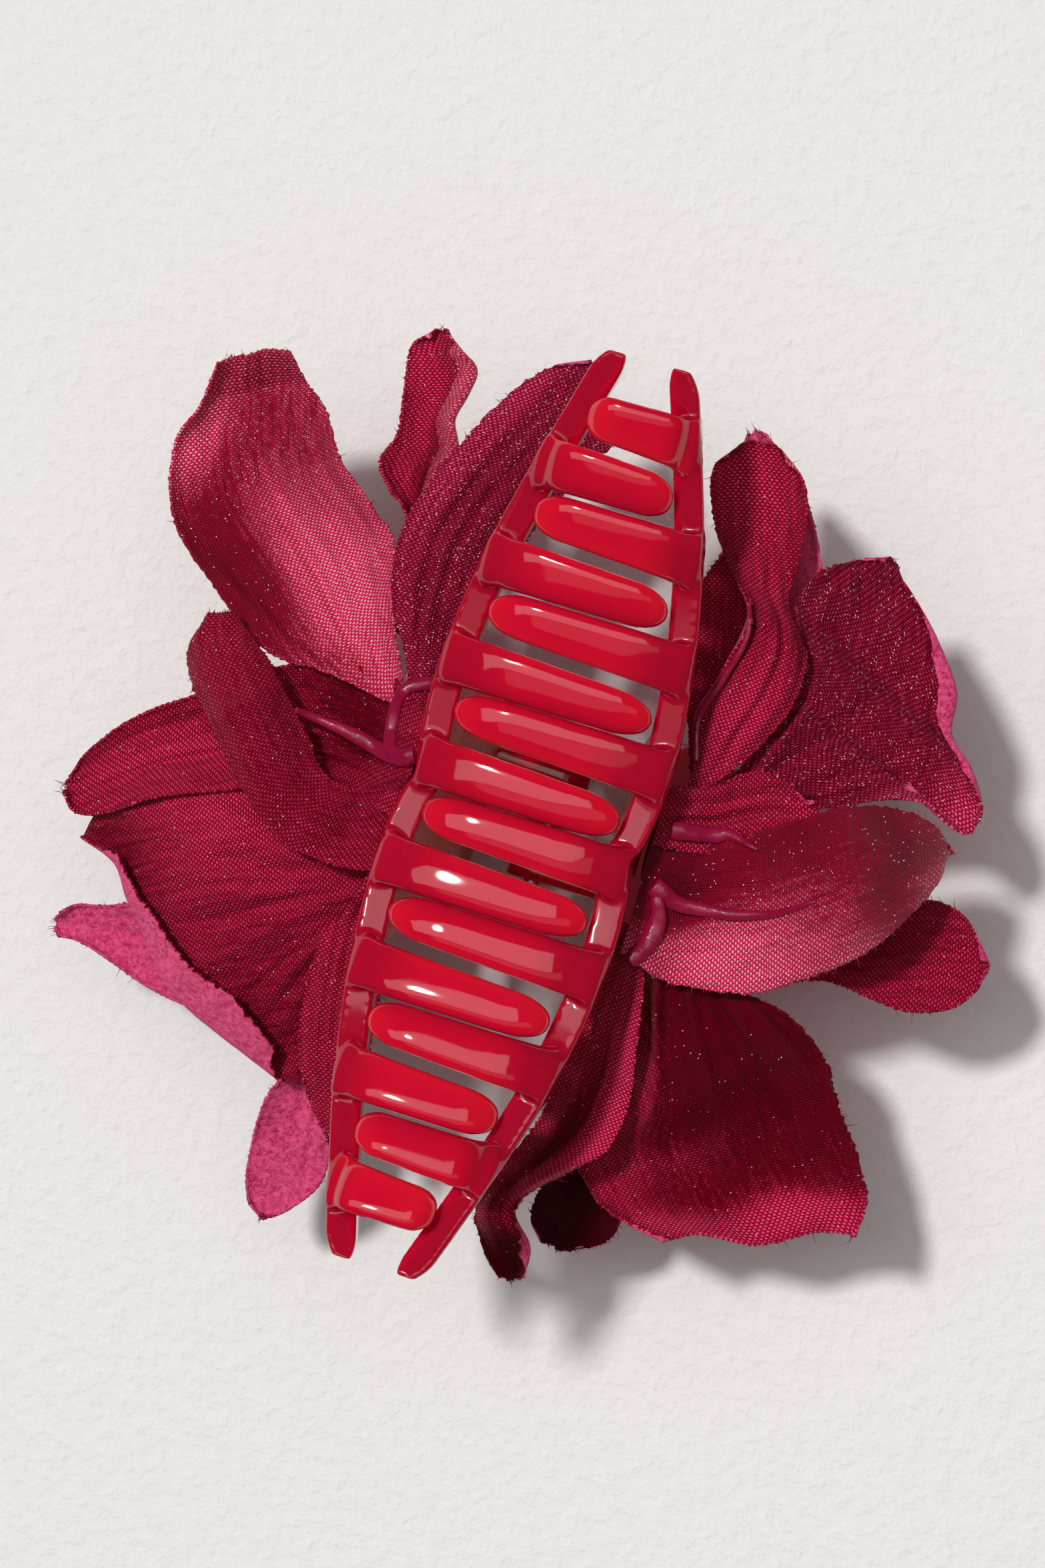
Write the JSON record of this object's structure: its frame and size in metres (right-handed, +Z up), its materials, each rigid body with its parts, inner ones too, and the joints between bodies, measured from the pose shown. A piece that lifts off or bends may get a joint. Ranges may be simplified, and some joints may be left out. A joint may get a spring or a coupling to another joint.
{
  "type": "flower hair clip",
  "caption": "Claw hair clip of translucent plastic with interlocking arched teeth, a sprung hinge and a large fabric flower glued to each handle.",
  "frame": {"origin": "middle of the whole part's box at the level of the flat handle tips that it lies on", "axes": "+Z up towards the teeth, Y along the clip and its hinge, X across the clip from the left jaw to the right jaw"},
  "size_m": [0.109, 0.1064, 0.0562],
  "materials": {
    "claw_plastic": "glossy translucent red moulding",
    "petal_satin": "plain woven satin back with fine glitter thread",
    "petal_velvet": "flocked velvet",
    "rib_plastic": "semi-gloss translucent burgundy moulding",
    "clear_glue": "set hot-melt glue, glossy",
    "backing_felt": "pressed felt",
    "spring_steel": "bright drawn wire",
    "stamen_plastic": "matte"
  },
  "bodies": {
    "left_half": {"jaw_left": "claw_plastic", "hinge_pin": "spring_steel", "torsion_spring": "spring_steel", "glue_pad_left": "clear_glue", "base_disc_left": "backing_felt", "petal_left_broad": "petal_satin", "petal_left_twisted": "petal_satin", "petal_left_long": "petal_satin", "petal_left_slender": "petal_satin", "petal_left_tongue": "petal_satin", "petal_left_fan": "petal_satin", "petal_left_low_outer": "petal_velvet", "petal_left_low_inner": "petal_velvet", "petal_left_strip": "petal_satin", "rib_left_cross": "rib_plastic", "rib_left_elbow": "rib_plastic", "bud_left": "petal_velvet", "stamens_left": "stamen_plastic"},
    "right_half": {"jaw_right": "claw_plastic", "glue_pad_right": "clear_glue", "base_disc_right": "backing_felt", "petal_right_twisted": "petal_satin", "petal_right_under_twisted": "petal_velvet", "petal_right_glitter": "petal_satin", "petal_right_inner": "petal_satin", "petal_right_ribbed": "petal_satin", "petal_right_low_outer": "petal_velvet", "petal_right_broad": "petal_satin", "petal_right_wavy": "petal_satin", "petal_right_floor": "petal_velvet", "petal_right_slim": "petal_satin", "rib_right_long": "rib_plastic", "rib_right_down": "rib_plastic", "rib_right_edge": "rib_plastic", "rib_right_short": "rib_plastic", "bud_right": "petal_velvet", "stamens_right": "stamen_plastic"}
  },
  "joints": [
    {"name": "clip_hinge", "type": "hinge", "parent": "left_half", "child": "right_half", "pos_m": [-0.00003, 0.00075, 0.02], "axis": [0, 1, 0], "range_deg": [0, 50], "stiffness_Nm_per_rad": 0.15, "springref_deg": -22.92, "deforming": ["torsion_spring"]}
  ]
}
